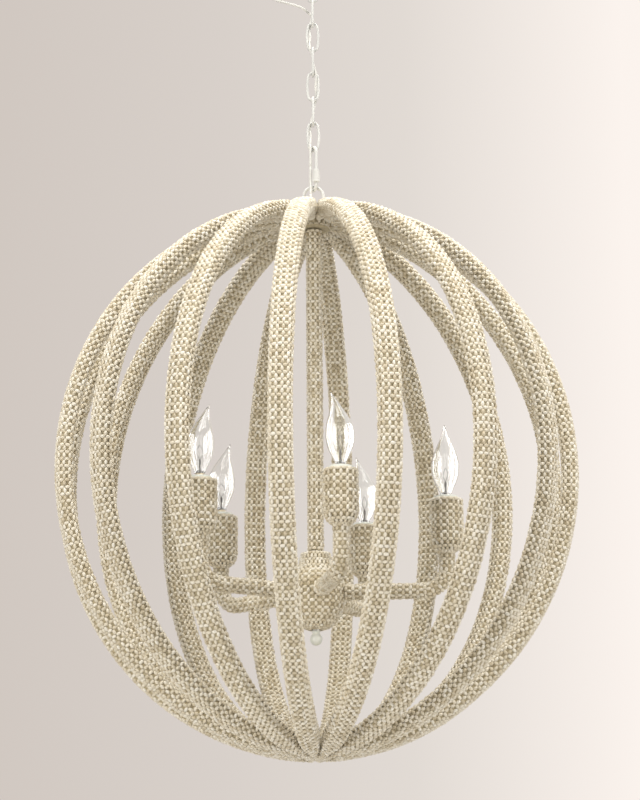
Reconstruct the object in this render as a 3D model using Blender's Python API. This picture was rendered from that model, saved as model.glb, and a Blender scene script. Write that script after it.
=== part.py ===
"""Hanging orb chandelier: sixteen wrapped ribs round a stem with five candle arms.

Metres, +Z up, -Y to the front. The origin is where the mounting strap meets the ceiling.
Heights below are measured from the centre of the orb, CEILING_Z under the ceiling.
"""

import math

import bmesh
import bpy
from mathutils import Vector

# ---- overall -------------------------------------------------------------------
CEILING_Z = 0.7080
FIT = 0.0003

# ---- orb ribs ------------------------------------------------------------------
RIB_COUNT = 16
RIB_PHASE = math.radians(-7.05)
RIB_RING_RADIUS = 0.2915
RIB_HALF_HEIGHT = 0.3155
RIB_POINTEDNESS = 1.03
RIB_WIDTH = 0.0275
RIB_THICKNESS = 0.0210
RIB_CHAMFER = 0.0050
RIB_INNER_END = 0.0207
RIB_STATIONS = 26

# ---- hubs, stem and centre pipe --------------------------------------------------
HUB_RADIUS = 0.0190
TOP_HUB_Z = (0.3005, 0.3225)
BOTTOM_HUB_Z = (-0.3245, -0.3035)
STEM_RADIUS = 0.0105
STEM_BORE = 0.0056
STEM_Z = (-0.0851, 0.3002)
PIPE_RADIUS = 0.0050
PIPE_Z = (-0.1776, 0.3229)

# ---- arm cluster -----------------------------------------------------------------
ARM_COUNT = 5
ARM_TURNS = [math.radians(a) for a in (10.6, 84.6, 156.6, 228.6, 300.6)]
ARM_RING_RADIUS = 0.1498
ARM_Z = -0.1340
ARM_RADIUS = 0.0102
ARM_BEND = 0.0260
ARM_START = 0.0346
ARM_LIFTS = (0.0050, 0.0, 0.0, 0.0055, 0.0105)
BODY_PROFILE = [
    (STEM_BORE, -0.0854), (0.0150, -0.0856), (0.0180, -0.0885), (0.0192, -0.0960),
    (0.0215, -0.1040), (0.0290, -0.1120), (0.0340, -0.1230), (0.0342, -0.1450),
    (0.0310, -0.1580), (0.0240, -0.1690), (0.0150, -0.1758), (STEM_BORE, -0.1776),
]
FINIAL_RADIUS = 0.0072
FINIAL_Z = -0.1872

# ---- candle cups, sockets and bulbs ------------------------------------------------
CUP_RADIUS = 0.0205
CUP_WALL = 0.0058
CUP_RIM_Z = -0.0282
CUP_HEIGHT = 0.0626
CUP_FLOOR_THICKNESS = 0.0120
SOCKET_RADIUS = 0.0141
SOCKET_BORE = 0.0068
SOCKET_RISE = 0.0028
SOCKET_EDGE = 0.0008
BULB_BASE_RADIUS = 0.0059
BULB_BASE_DEPTH = 0.0170
BULB_SIDES = 12
BULB_NECK_GAP = 0.0012
BULB_LEAN_START = 0.35
BULB_HEIGHT = 0.0800
BULB_TIP_LEAN = 0.0105
BULB_TURNS = [math.radians(a) for a in (200, 265, 200, -10, 5)]
BULB_SEATS = (0.0010, 0.0, 0.0, 0.0030, 0.0025)

# ---- chain -------------------------------------------------------------------------
LINK_COUNT = 8
LINK_WIRE = 0.0016
LINK_HALF_WIDTH = 0.00665
LINK_END_RADIUS = 0.0058
LINK_HALF_LENGTH = 0.0176
LINK_PITCH = 0.03175
LOWEST_LINK_Z = 0.4172
RING_WIRE = 0.0020
RING_RADIUS = 0.0115
HANG_RING_Z = 0.3424
QUICK_WIRE = 0.0019
QUICK_HALF_WIDTH = 0.0072
QUICK_Z = (0.3496, 0.4034)
QUICK_TURN = math.radians(118)
QUICK_NUT_Z = (0.3578, 0.3736)
QUICK_NUT_RADIUS = 0.0040

# ---- ceiling canopy ----------------------------------------------------------------
CANOPY_RADIUS = 0.0635
CANOPY_DEPTH = 0.0245
CANOPY_WALL = 0.0016
CANOPY_HOLE = 0.0054
STRAP_SIZE = (0.1000, 0.0180, 0.0025)
STRAP_SCREW_X = 0.0350
STRAP_HOLE_RADIUS = 0.0023
SCREW_RADIUS = 0.0019
SCREW_HEAD_RADIUS = 0.0040

# ---- supply cord -------------------------------------------------------------------
CORD_RADIUS = 0.0014
CORD_HUB_HOLE = (-0.0034, -0.0108)
CORD_CANOPY_HOLE = (-0.0240, 0.0)
CORD_HOLE_RADIUS = 0.0022
CORD_START_LINK = 2


def add_material(name, colour, roughness, metallic=0.0, alpha=1.0):
    material = bpy.data.materials.new(name)
    material.use_nodes = True
    shader = material.node_tree.nodes["Principled BSDF"]
    shader.inputs["Base Color"].default_value = (*colour, 1.0)
    shader.inputs["Roughness"].default_value = roughness
    shader.inputs["Metallic"].default_value = metallic
    shader.inputs["Alpha"].default_value = alpha
    material.diffuse_color = (*colour, alpha)
    return material


def empty(name, location, parent=None, turn=0.0):
    holder = bpy.data.objects.new(name, None)
    holder.location = location
    holder.rotation_euler = (0.0, 0.0, turn)
    holder.parent = parent
    bpy.context.collection.objects.link(holder)
    return holder


def add_object(name, mesh, material, parent=None, location=(0, 0, 0), turn=0.0):
    """Names the object and its own copy of the material, and places it."""
    own = material.copy()
    own.name = name + "_paint"
    mesh.materials.clear()
    mesh.materials.append(own)
    made = bpy.data.objects.new(name, mesh)
    made.location = location
    made.rotation_euler = (0.0, 0.0, turn)
    made.parent = parent
    bpy.context.collection.objects.link(made)
    return made


def mesh_from(name, points, faces, smooth=True):
    mesh = bpy.data.meshes.new(name)
    mesh.from_pydata([tuple(p) for p in points], [], faces)
    shape = bmesh.new()
    shape.from_mesh(mesh)
    bmesh.ops.recalc_face_normals(shape, faces=shape.faces)
    shape.to_mesh(mesh)
    shape.free()
    for face in mesh.polygons:
        face.use_smooth = smooth
    return mesh


def loft(name, rings, closed=False):
    """Skins a row of rings with the same number of points, capping both ends."""
    count = len(rings[0])
    points = [p for ring in rings for p in ring]
    faces = []
    rows = len(rings) if closed else len(rings) - 1
    for i in range(rows):
        a = i * count
        b = ((i + 1) % len(rings)) * count
        for j in range(count):
            k = (j + 1) % count
            faces.append((a + j, a + k, b + k, b + j))
    if not closed:
        faces.append(tuple(range(count)))
        faces.append(tuple(range(len(points) - count, len(points))))
    return mesh_from(name, points, faces)


def turned(name, profile, steps):
    """Turns a closed (radius, height) outline about Z; radius 0 closes on the axis."""
    points = []
    rings = []
    for radius, height in profile:
        if radius < 1e-6:
            rings.append([len(points)])
            points.append((0.0, 0.0, height))
            continue
        rings.append(list(range(len(points), len(points) + steps)))
        for j in range(steps):
            angle = 2 * math.pi * j / steps
            points.append((radius * math.cos(angle), radius * math.sin(angle), height))
    faces = []
    for ring, after in zip(rings, rings[1:] + rings[:1]):
        if len(ring) == 1 and len(after) == 1:
            continue
        for j in range(steps):
            k = (j + 1) % steps
            if len(ring) == 1:
                faces.append((ring[0], after[j], after[k]))
            elif len(after) == 1:
                faces.append((ring[j], ring[k], after[0]))
            else:
                faces.append((ring[j], ring[k], after[k], after[j]))
    return mesh_from(name, points, faces)


def tube(name, path, radius, sides, closed=False, across=Vector((0, 1, 0))):
    """Sweeps a round section along a path that lies in the plane square to 'across'."""
    rings = []
    for i, point in enumerate(path):
        before = path[i - 1] if closed or i else path[i]
        after = path[(i + 1) % len(path)] if closed or i < len(path) - 1 else path[i]
        along = (after - before).normalized()
        side = across.cross(along).normalized()
        ring = []
        for j in range(sides):
            angle = 2 * math.pi * j / sides
            ring.append(point + side * radius * math.cos(angle)
                        + across * radius * math.sin(angle))
        rings.append(ring)
    return loft(name, rings, closed)


def subtract(target, cutter):
    cut = target.modifiers.new("cut_" + cutter.name, "BOOLEAN")
    cut.operation = "DIFFERENCE"
    cut.solver = "EXACT"
    cut.object = cutter
    cutter.hide_render = True
    cutter.display_type = "WIRE"


def join(target, other):
    weld = target.modifiers.new("weld_" + other.name, "BOOLEAN")
    weld.operation = "UNION"
    weld.solver = "EXACT"
    weld.object = other
    other.hide_render = True
    other.display_type = "WIRE"


# ---- clear the startup scene ---------------------------------------------------------
for old in list(bpy.data.objects):
    bpy.data.objects.remove(old, do_unlink=True)

WRAP = add_material("coco_bead_wrap", (0.74, 0.66, 0.50), 0.70)
WHITE = add_material("white_painted_steel", (0.86, 0.85, 0.81), 0.45)
STEEL = add_material("zinc_steel", (0.62, 0.62, 0.60), 0.35, metallic=1.0)
PORCELAIN = add_material("socket_white", (0.80, 0.82, 0.78), 0.40)
GLASS = add_material("clear_glass", (0.95, 0.97, 0.97), 0.05, alpha=0.35)
CORD = add_material("cord_white", (0.85, 0.84, 0.80), 0.50)

chandelier = empty("chandelier", (0.0, 0.0, 0.0))
orb = empty("orb", (0.0, 0.0, -CEILING_Z), chandelier)


# ---- ribs ------------------------------------------------------------------------------
def rib_rings():
    """Sections of one rib, standing over the -Y axis, clamped to its own wedge."""
    wedge = math.tan(math.pi / RIB_COUNT)
    first = math.asin((RIB_INNER_END / RIB_RING_RADIUS) ** (1 / RIB_POINTEDNESS))
    half, deep, cut = RIB_WIDTH / 2, RIB_THICKNESS / 2, RIB_CHAMFER
    outline = [
        (half, deep - cut), (half - cut, deep), (cut - half, deep), (-half, deep - cut),
        (-half, cut - deep), (cut - half, -deep), (half - cut, -deep), (half, cut - deep),
    ]
    rings = []
    for i in range(RIB_STATIONS + 1):
        angle = first + (math.pi - 2 * first) * i / RIB_STATIONS
        power = RIB_POINTEDNESS
        radius = RIB_RING_RADIUS * math.sin(angle) ** power
        height = RIB_HALF_HEIGHT * math.cos(angle)
        slope = RIB_RING_RADIUS * power * math.sin(angle) ** (power - 1) * math.cos(angle)
        out = Vector((RIB_HALF_HEIGHT * math.sin(angle), slope)).normalized()
        ring = []
        for side, depth in outline:
            r = radius + depth * out.x
            limit = r * wedge - FIT / 2
            x = max(-limit, min(limit, side))
            ring.append((x, -r, height + depth * out.y))
        rings.append(ring)
    return rings


rib_mesh = loft("rib", rib_rings())
for k in range(RIB_COUNT):
    turn = RIB_PHASE + 2 * math.pi * k / RIB_COUNT
    add_object(f"rib_{k + 1:02d}", rib_mesh.copy(), WRAP, orb, turn=turn)

# ---- hubs, stem, pipe --------------------------------------------------------------------
low, high = TOP_HUB_Z
top_hub = add_object("top_hub", turned("top_hub", [
    (STEM_BORE, low), (HUB_RADIUS, low), (HUB_RADIUS, high), (STEM_BORE, high),
], 24), WRAP, orb)
cord_drill = add_object("cord_drill", turned("cord_drill", [
    (0.0, low + 0.006), (CORD_HOLE_RADIUS, low + 0.006), (CORD_HOLE_RADIUS, high + 0.002),
    (0.0, high + 0.002),
], 12), WRAP, orb, location=(*CORD_HUB_HOLE, 0.0))
subtract(top_hub, cord_drill)
low, high = BOTTOM_HUB_Z
add_object("bottom_hub", turned("bottom_hub", [
    (0.0, low), (HUB_RADIUS, low + 0.001), (HUB_RADIUS, high), (0.0, high),
], 24), WRAP, orb)
low, high = STEM_Z
add_object("stem", turned("stem", [
    (STEM_BORE, low), (STEM_RADIUS, low), (STEM_RADIUS, high), (STEM_BORE, high),
], 20), WRAP, orb)
low, high = PIPE_Z
add_object("centre_pipe", turned("centre_pipe", [
    (0.0, low), (PIPE_RADIUS, low), (PIPE_RADIUS, high), (0.0, high),
], 14), STEEL, orb)

# ---- cluster body and finial ---------------------------------------------------------------
add_object("cluster_body", turned("cluster_body", BODY_PROFILE, 24), WRAP, orb)
top = PIPE_Z[0] - FIT
finial = [(0.0, top), (0.0050, top), (0.0042, top - 0.0022)]
for i in range(1, 8):
    angle = math.pi * (0.20 + 0.80 * i / 8)
    finial.append((FINIAL_RADIUS * math.sin(angle), FINIAL_Z + FINIAL_RADIUS * math.cos(angle)))
finial.append((0.0, FINIAL_Z - FINIAL_RADIUS))
add_object("finial", turned("finial", finial, 16), WHITE, orb)

# ---- arms, cups, sockets, bulbs ---------------------------------------------------------------
cup_floor = CUP_RIM_Z - CUP_HEIGHT


def arm_path(lift):
    """The arm's middle line over the -Y axis; the lift lengthens its upright leg."""
    path = [Vector((0, -ARM_START, ARM_Z)), Vector((0, ARM_BEND - ARM_RING_RADIUS, ARM_Z))]
    for i in range(1, 7):
        angle = math.pi / 2 * i / 6
        path.append(Vector((0, ARM_BEND - ARM_RING_RADIUS - ARM_BEND * math.sin(angle),
                            ARM_Z + ARM_BEND * (1 - math.cos(angle)))))
    path.append(Vector((0, -ARM_RING_RADIUS, cup_floor + lift - FIT)))
    return path


inner = CUP_RADIUS - CUP_WALL
cup_mesh = turned("cup", [
    (0.0, cup_floor), (0.0110, cup_floor + 0.0006), (0.0165, cup_floor + 0.0042),
    (0.0195, cup_floor + 0.0095), (CUP_RADIUS, cup_floor + 0.0160),
    (CUP_RADIUS, CUP_RIM_Z), (inner, CUP_RIM_Z), (inner, cup_floor + CUP_FLOOR_THICKNESS),
    (0.0, cup_floor + CUP_FLOOR_THICKNESS),
], 16)

socket_top = CUP_RIM_Z + SOCKET_RISE
socket_low = cup_floor + CUP_FLOOR_THICKNESS + FIT
bore_floor = socket_top - BULB_BASE_DEPTH - 0.0020
socket_mesh = turned("socket", [
    (0.0, socket_low), (SOCKET_RADIUS - 0.0020, socket_low), (SOCKET_RADIUS, socket_low + 0.002),
    (SOCKET_RADIUS, socket_top - SOCKET_EDGE), (SOCKET_RADIUS - SOCKET_EDGE, socket_top),
    (SOCKET_BORE, socket_top), (SOCKET_BORE, bore_floor), (0.0, bore_floor),
], 14)

BULB_SHAPE = [
    (0.00, 0.0059), (0.04, 0.0067), (0.12, 0.0097), (0.22, 0.0134), (0.32, 0.0155),
    (0.41, 0.0160), (0.51, 0.0153), (0.62, 0.0126), (0.73, 0.0087), (0.84, 0.0048),
    (0.93, 0.0021), (1.00, 0.0006),
]
bulb_circle = [(math.cos(math.tau * j / BULB_SIDES), math.sin(math.tau * j / BULB_SIDES))
               for j in range(BULB_SIDES)]
bulb_rings = []
for radius, height in ((0.0035, -BULB_BASE_DEPTH), (BULB_BASE_RADIUS, -BULB_BASE_DEPTH + 0.003)):
    bulb_rings.append([(radius * x, radius * y, socket_top + height) for x, y in bulb_circle])
for share, radius in BULB_SHAPE:
    lean = (share - BULB_LEAN_START) / (1 - BULB_LEAN_START)
    lean = BULB_TIP_LEAN * max(0.0, lean) ** 2.2
    height = socket_top + BULB_NECK_GAP + BULB_HEIGHT * share
    bulb_rings.append([(radius * x + lean, radius * y, height) for x, y in bulb_circle])
bulb_mesh = loft("bulb", bulb_rings)

for k in range(ARM_COUNT):
    number = k + 1
    turn = ARM_TURNS[k]
    lift = ARM_LIFTS[k]
    place = (ARM_RING_RADIUS * math.sin(turn), -ARM_RING_RADIUS * math.cos(turn), lift)
    seat = (place[0], place[1], lift + BULB_SEATS[k])
    add_object(f"arm_{number}", tube("arm", arm_path(lift), ARM_RADIUS, 12,
                                     across=Vector((1, 0, 0))), WRAP, orb, turn=turn)
    add_object(f"cup_{number}", cup_mesh.copy(), WRAP, orb, place, turn)
    add_object(f"socket_{number}", socket_mesh.copy(), PORCELAIN, orb, place, turn)
    add_object(f"bulb_{number}", bulb_mesh.copy(), GLASS, orb, seat, BULB_TURNS[k])


# ---- rings, chain and quick link ------------------------------------------------------------------
def ring_path(centre_z, radius, steps=20):
    return [Vector((radius * math.sin(math.tau * i / steps), 0.0,
                    centre_z + radius * math.cos(math.tau * i / steps))) for i in range(steps)]


def oval_path(half_width, half_length, end_radius, steps=6):
    """A closed oval: round ends, and sides that swell from the ends to the half width."""
    straight = half_length - end_radius
    path = []
    for sign in (1, -1):
        for i in range(steps + 1):
            angle = math.pi * i / steps
            path.append(Vector((sign * end_radius * math.cos(angle), 0.0,
                                sign * (straight + end_radius * math.sin(angle)))))
        for share in (0.5, 0.0, -0.5):
            width = end_radius + (half_width - end_radius) * (1 - share * share)
            path.append(Vector((-sign * width, 0.0, sign * straight * share)))
    return path


def ring_with_base(name, ring_z, base, parent):
    """A closed ring in the XZ plane, welded to a turned base."""
    ring = add_object(name, tube(name, ring_path(ring_z, RING_RADIUS), RING_WIRE, 8, True),
                      WHITE, parent)
    foot = add_object(name + "_base", turned(name + "_base", base, 16), WHITE, parent)
    join(ring, foot)
    return ring


low = TOP_HUB_Z[1] + 0.0007
ring_with_base("hang_loop", HANG_RING_Z, [
    (0.0, low), (0.0070, low), (0.0070, low + 0.0042), (0.0035, low + 0.0080), (0.0, low + 0.0080),
], orb)

link_path = oval_path(LINK_HALF_WIDTH, LINK_HALF_LENGTH, LINK_END_RADIUS)
link_mesh = tube("link", link_path, LINK_WIRE, 8, True)
top_link_z = LOWEST_LINK_Z + (LINK_COUNT - 1) * LINK_PITCH
for k in range(LINK_COUNT):
    height = top_link_z - k * LINK_PITCH
    turn = math.pi / 2 if k % 2 == 0 else 0.0
    add_object(f"chain_link_{k + 1}", link_mesh.copy(), WHITE, orb, (0, 0, height), turn)

low, high = QUICK_Z
quick_path = oval_path(QUICK_HALF_WIDTH, (high - low) / 2, QUICK_HALF_WIDTH)
add_object("quick_link", tube("quick_link", quick_path, QUICK_WIRE, 8, True), WHITE, orb,
           (0, 0, (low + high) / 2), QUICK_TURN)
low, high = QUICK_NUT_Z
bore = QUICK_WIRE + 0.0003
nut_place = (-QUICK_HALF_WIDTH * math.cos(QUICK_TURN),
             -QUICK_HALF_WIDTH * math.sin(QUICK_TURN), 0.0)
rim = QUICK_NUT_RADIUS - 0.0005
add_object("quick_link_nut", turned("quick_link_nut", [
    (bore, low), (rim, low), (QUICK_NUT_RADIUS, low + 0.0008),
    (QUICK_NUT_RADIUS, high - 0.0008), (rim, high), (bore, high),
], 12), WHITE, orb, nut_place)

# ---- canopy, its loop, strap and screws --------------------------------------------------------------
top_wire_z = top_link_z + LINK_HALF_LENGTH
canopy_ring_z = top_wire_z - LINK_WIRE - FIT - RING_WIRE + RING_RADIUS
canopy_low = CEILING_Z - CANOPY_DEPTH
collar_z = canopy_low - FIT
ring_top_z = canopy_ring_z + RING_RADIUS
ring_with_base("canopy_loop", canopy_ring_z, [
    (0.0, ring_top_z - 0.0010), (0.0040, ring_top_z - 0.0005), (0.0085, collar_z - 0.0030),
    (0.0085, collar_z), (0.0047, collar_z), (0.0047, CEILING_Z - STRAP_SIZE[2] - FIT),
    (0.0, CEILING_Z - STRAP_SIZE[2] - FIT),
], orb)

wall = CANOPY_WALL
canopy = add_object("ceiling_canopy", turned("ceiling_canopy", [
    (CANOPY_HOLE, -CANOPY_DEPTH), (0.0380, -CANOPY_DEPTH), (0.0500, -CANOPY_DEPTH + 0.0030),
    (0.0590, -CANOPY_DEPTH + 0.0100), (CANOPY_RADIUS - 0.001, -0.0040), (CANOPY_RADIUS, 0.0),
    (CANOPY_RADIUS - wall, 0.0), (CANOPY_RADIUS - 0.001 - wall, -0.0040),
    (0.0590 - wall, -CANOPY_DEPTH + 0.0108), (0.0495, -CANOPY_DEPTH + 0.0046),
    (0.0375, -CANOPY_DEPTH + wall), (CANOPY_HOLE, -CANOPY_DEPTH + wall),
], 28), WHITE, chandelier)
grommet = add_object("grommet_drill", turned("grommet_drill", [
    (0.0, -CANOPY_DEPTH - 0.004), (CORD_HOLE_RADIUS, -CANOPY_DEPTH - 0.004),
    (CORD_HOLE_RADIUS, -CANOPY_DEPTH + 0.004), (0.0, -CANOPY_DEPTH + 0.004),
], 12), WHITE, chandelier, (*CORD_CANOPY_HOLE, 0.0))
subtract(canopy, grommet)

length, width, thick = STRAP_SIZE
corners = [(x, y, z) for z in (-thick, 0.0)
           for x, y in ((-length / 2, -width / 2), (length / 2, -width / 2),
                        (length / 2, width / 2), (-length / 2, width / 2))]
strap_faces = [(3, 2, 1, 0), (4, 5, 6, 7), (0, 1, 5, 4), (1, 2, 6, 5), (2, 3, 7, 6), (3, 0, 4, 7)]
strap = add_object("mounting_strap", mesh_from("mounting_strap", corners, strap_faces, False),
                   STEEL, chandelier)
for side, label in ((-1, "a"), (1, "b")):
    spot = (side * STRAP_SCREW_X, 0.0, 0.0)
    drill = add_object("strap_drill_" + label, turned("strap_drill", [
        (0.0, -0.004), (STRAP_HOLE_RADIUS, -0.004), (STRAP_HOLE_RADIUS, 0.001), (0.0, 0.001),
    ], 12), STEEL, chandelier, spot)
    subtract(strap, drill)
    add_object("strap_screw_" + label, turned("strap_screw", [
        (0.0, -0.0056), (0.0028, -0.0052), (SCREW_HEAD_RADIUS, -thick - FIT - 0.0004),
        (SCREW_HEAD_RADIUS, -thick - FIT), (SCREW_RADIUS, -thick - FIT), (SCREW_RADIUS, 0.0),
        (0.0, 0.0),
    ], 12), STEEL, chandelier, spot)


# ---- supply cord, woven down through the chain -------------------------------------------------
def cord_points():
    """From inside the canopy, round its slack loop, then down the chain to the top hub."""
    slack = [
        (CORD_CANOPY_HOLE[0], 0.0, CEILING_Z - 0.0130), (CORD_CANOPY_HOLE[0], 0.0, 0.6800),
        (-0.0275, 0.0, 0.6710), (-0.0360, -0.0005, 0.6620), (-0.0480, -0.0012, 0.6530),
        (-0.0590, -0.0020, 0.6410), (-0.0655, -0.0026, 0.6270), (-0.0655, -0.0032, 0.6120),
        (-0.0590, -0.0036, 0.6000), (-0.0480, -0.0038, 0.5925), (-0.0360, -0.0038, 0.5885),
        (-0.0250, -0.0036, 0.5855), (-0.0165, -0.0034, 0.5828), (-0.0105, -0.0033, 0.5795),
    ]
    points = [Vector(p) for p in slack]
    start_z = top_link_z - CORD_START_LINK * LINK_PITCH - 0.0030
    end_z = LOWEST_LINK_Z - 0.0140
    count = 46
    for i in range(count + 1):
        z = start_z + (end_z - start_z) * i / count
        part = (top_link_z - z) / LINK_PITCH
        angle = math.pi + math.pi / 2 * (part - CORD_START_LINK - 1)
        reach = 0.00395 - 0.0008 * math.cos(math.tau * part)
        points.append(Vector((reach * math.cos(angle), reach * math.sin(angle), z)))
    return points


woven = cord_points()
for depth, height in ((-0.0034, 0.3920), (-0.0036, 0.3780), (-0.0042, 0.3640), (-0.0056, 0.3520),
                      (-0.0078, 0.3420), (-0.0098, 0.3330), (CORD_HUB_HOLE[1], 0.3220),
                      (CORD_HUB_HOLE[1], TOP_HUB_Z[0] + 0.0075)):
    woven.append(Vector((CORD_HUB_HOLE[0], depth, height)))
curve = bpy.data.curves.new("supply_cord", "CURVE")
curve.dimensions = "3D"
curve.bevel_depth = CORD_RADIUS
curve.bevel_resolution = 2
curve.use_fill_caps = True
line = curve.splines.new("POLY")
line.points.add(len(woven) - 1)
for spot, point in zip(line.points, woven):
    spot.co = (*point, 1.0)
cord = bpy.data.objects.new("supply_cord", curve)
cord.parent = orb
cord_paint = CORD.copy()
cord_paint.name = "supply_cord_paint"
curve.materials.append(cord_paint)
bpy.context.collection.objects.link(cord)
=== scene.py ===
"""Looks of the beaded orb chandelier: bead netting, painted chain, glass bulbs and cord.

Metres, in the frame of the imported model: the origin is on the ceiling, +Z up, -Y to the front.
"""

import math

import bmesh
import bpy
from mathutils import Matrix, Vector


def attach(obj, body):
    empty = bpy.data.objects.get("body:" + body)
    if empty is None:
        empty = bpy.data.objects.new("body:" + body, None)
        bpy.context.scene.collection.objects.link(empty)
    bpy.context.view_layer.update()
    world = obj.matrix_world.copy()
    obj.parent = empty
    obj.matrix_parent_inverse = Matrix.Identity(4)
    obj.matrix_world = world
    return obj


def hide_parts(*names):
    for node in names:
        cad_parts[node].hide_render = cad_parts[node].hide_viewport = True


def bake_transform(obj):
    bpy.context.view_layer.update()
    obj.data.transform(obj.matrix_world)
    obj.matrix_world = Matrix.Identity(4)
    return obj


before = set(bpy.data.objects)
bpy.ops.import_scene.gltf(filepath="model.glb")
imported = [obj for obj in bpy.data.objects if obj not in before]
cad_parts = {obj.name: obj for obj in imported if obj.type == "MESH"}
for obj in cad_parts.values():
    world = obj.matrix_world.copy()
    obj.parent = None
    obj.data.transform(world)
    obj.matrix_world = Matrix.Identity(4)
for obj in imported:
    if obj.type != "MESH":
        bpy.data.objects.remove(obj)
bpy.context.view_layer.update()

# ---- overall -------------------------------------------------------------------------
ORB_Z = -0.7080

# ---- ribs ----------------------------------------------------------------------------
RIB_COUNT = 16
RIB_PHASE = math.radians(-7.05)
RIB_RING_RADIUS = 0.2915
RIB_HALF_HEIGHT = 0.3155
RIB_POINTEDNESS = 1.03
RIB_WIDTH = 0.0275
RIB_THICKNESS = 0.0210
RIB_CHAMFER = 0.0050
RIB_INNER_END = 0.0207
RIB_GAP = 0.0003

# ---- bead netting --------------------------------------------------------------------
BEAD_PITCH = 0.0080
ACROSS_BEAD_LENGTH = 0.0056
ACROSS_BEAD_GIRTH = 0.0045
ROW_BEAD_LENGTH = 0.0052
ROW_BEAD_GIRTH = 0.0040
BEAD_END = 0.66
BEAD_WANDER = 0.00018
BEAD_DEPTH = 0.00230
CORE_DEPTH = 0.0028
RIB_BEADS_ROUND = 11
STEM_BEADS_ROUND = 9
ARM_BEADS_ROUND = 8
CUP_BEADS_ROUND = 16
BODY_BEADS_ROUND = 24
HUB_BEADS_ROUND = 16
RIB_SEED = 100
ARM_SEED = 300
CUP_SEED = 320
CUP_RIM_SEED = 340

# ---- stem, hubs and cluster ----------------------------------------------------------
HUB_RADIUS = 0.0190
TOP_HUB_Z = (0.3005, 0.3225)
BOTTOM_HUB_Z = (-0.3245, -0.3035)
STEM_RADIUS = 0.0105
STEM_Z = (-0.0851, 0.3002)
PIPE_CLEAR = 0.0056
ARM_COUNT = 5
ARM_TURNS = [math.radians(a) for a in (10.6, 84.6, 156.6, 228.6, 300.6)]
ARM_RING_RADIUS = 0.1498
ARM_Z = -0.1340
ARM_RADIUS = 0.0102
ARM_BEND = 0.0260
ARM_START = 0.0346
ARM_LIFTS = (0.0050, 0.0, 0.0, 0.0055, 0.0105)
BODY_PROFILE = [
    (0.0090, -0.0856), (0.0150, -0.0860), (0.0180, -0.0885), (0.0192, -0.0960),
    (0.0215, -0.1040), (0.0290, -0.1120), (0.0340, -0.1230), (0.0342, -0.1450),
    (0.0310, -0.1580), (0.0240, -0.1690), (0.0150, -0.1758), (0.0090, -0.1772),
]
FINIAL_RADIUS = 0.0072
FINIAL_Z = -0.1872
PIPE_LOW = -0.1776

# ---- candle cups, sockets, bulbs -----------------------------------------------------
CUP_RADIUS = 0.0205
CUP_WALL = 0.0058
CUP_RIM_Z = -0.0282
CUP_HEIGHT = 0.0626
CUP_FLOOR_THICKNESS = 0.0120
SOCKET_RADIUS = 0.0141
SOCKET_BORE = 0.0068
SOCKET_RISE = 0.0028
BULB_BASE_DEPTH = 0.0170
BULB_HEIGHT = 0.0800
BULB_NECK_GAP = 0.0012
BULB_TIP_LEAN = 0.0105
BULB_LEAN_START = 0.35
BULB_GLASS = 0.0005
BULB_TURNS = [math.radians(a) for a in (200, 265, 200, -10, 5)]
BULB_SEATS = (0.0010, 0.0, 0.0, 0.0030, 0.0025)
BULB_SHAPE = [
    (0.00, 0.0059), (0.04, 0.0067), (0.12, 0.0097), (0.22, 0.0134), (0.32, 0.0155),
    (0.41, 0.0160), (0.51, 0.0153), (0.62, 0.0126), (0.73, 0.0087), (0.84, 0.0048),
    (0.93, 0.0021), (1.00, 0.0006),
]

# ---- chain, rings and connector ------------------------------------------------------
LINK_COUNT = 8
LINK_WIRE = 0.0016
LINK_HALF_WIDTH = 0.00665
LINK_END_RADIUS = 0.0058
LINK_HALF_LENGTH = 0.0176
LINK_PITCH = 0.03175
LOWEST_LINK_Z = 0.4172
TOP_LINK_Z = LOWEST_LINK_Z + (LINK_COUNT - 1) * LINK_PITCH
RING_WIRE = 0.0020
RING_RADIUS = 0.0115
HANG_RING_Z = 0.3424
QUICK_WIRE = 0.0019
QUICK_HALF_WIDTH = 0.0072
QUICK_Z = (0.3496, 0.4034)
QUICK_TURN = math.radians(118)
QUICK_NUT_Z = (0.3578, 0.3736)
QUICK_NUT_RADIUS = 0.0040

# ---- ceiling fitting and cord --------------------------------------------------------
CANOPY_RADIUS = 0.0635
CANOPY_DEPTH = 0.0245
CANOPY_WALL = 0.0016
STRAP_THICKNESS = 0.0025
CORD_RADIUS = 0.0014
CORD_HUB_HOLE = (-0.0034, -0.0108)
CORD_CANOPY_HOLE = (-0.0240, 0.0)
CORD_START_LINK = 2

# ---- camera and room -----------------------------------------------------------------
CAMERA_PLACE = (0.0, -2.4910, -1.2777)
CAMERA_TILT = math.radians(102.117)
CAMERA_ROLL = math.radians(-0.34)
CAMERA_LENS = 99.84
CAMERA_SHIFT = (0.0057, 0.1351)
FLOOR_Z = -2.60
FLOOR_RADIUS = 4.0
WALL_RADIUS = 12.0
WALL_HALF_HEIGHT = 14.0
WALL_PAINTED_FALLOFF = 2.12


# ==== nodes helpers ===================================================================
class Nodes:
    """Short hand for building one node tree."""

    def __init__(self, tree):
        self.tree = tree

    def add(self, kind, values=None, **settings):
        node = self.tree.nodes.new(kind)
        for key, value in settings.items():
            setattr(node, key, value)
        for key, value in (values or {}).items():
            if isinstance(value, bpy.types.NodeSocket):
                self.tree.links.new(value, node.inputs[key])
            else:
                node.inputs[key].default_value = value
        return node

    def link(self, source, target):
        self.tree.links.new(source, target)

    def maths(self, operation, first, second=None):
        values = {0: first}
        if second is not None:
            values[1] = second
        return self.add("ShaderNodeMath", values, operation=operation).outputs[0]


# ==== materials =======================================================================
def new_finish(name):
    material = bpy.data.materials.new(name)
    material.use_nodes = True
    tree = Nodes(material.node_tree)
    shader = material.node_tree.nodes["Principled BSDF"]
    place = tree.add("ShaderNodeTexCoord").outputs["Object"]
    return material, tree, shader, place


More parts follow.
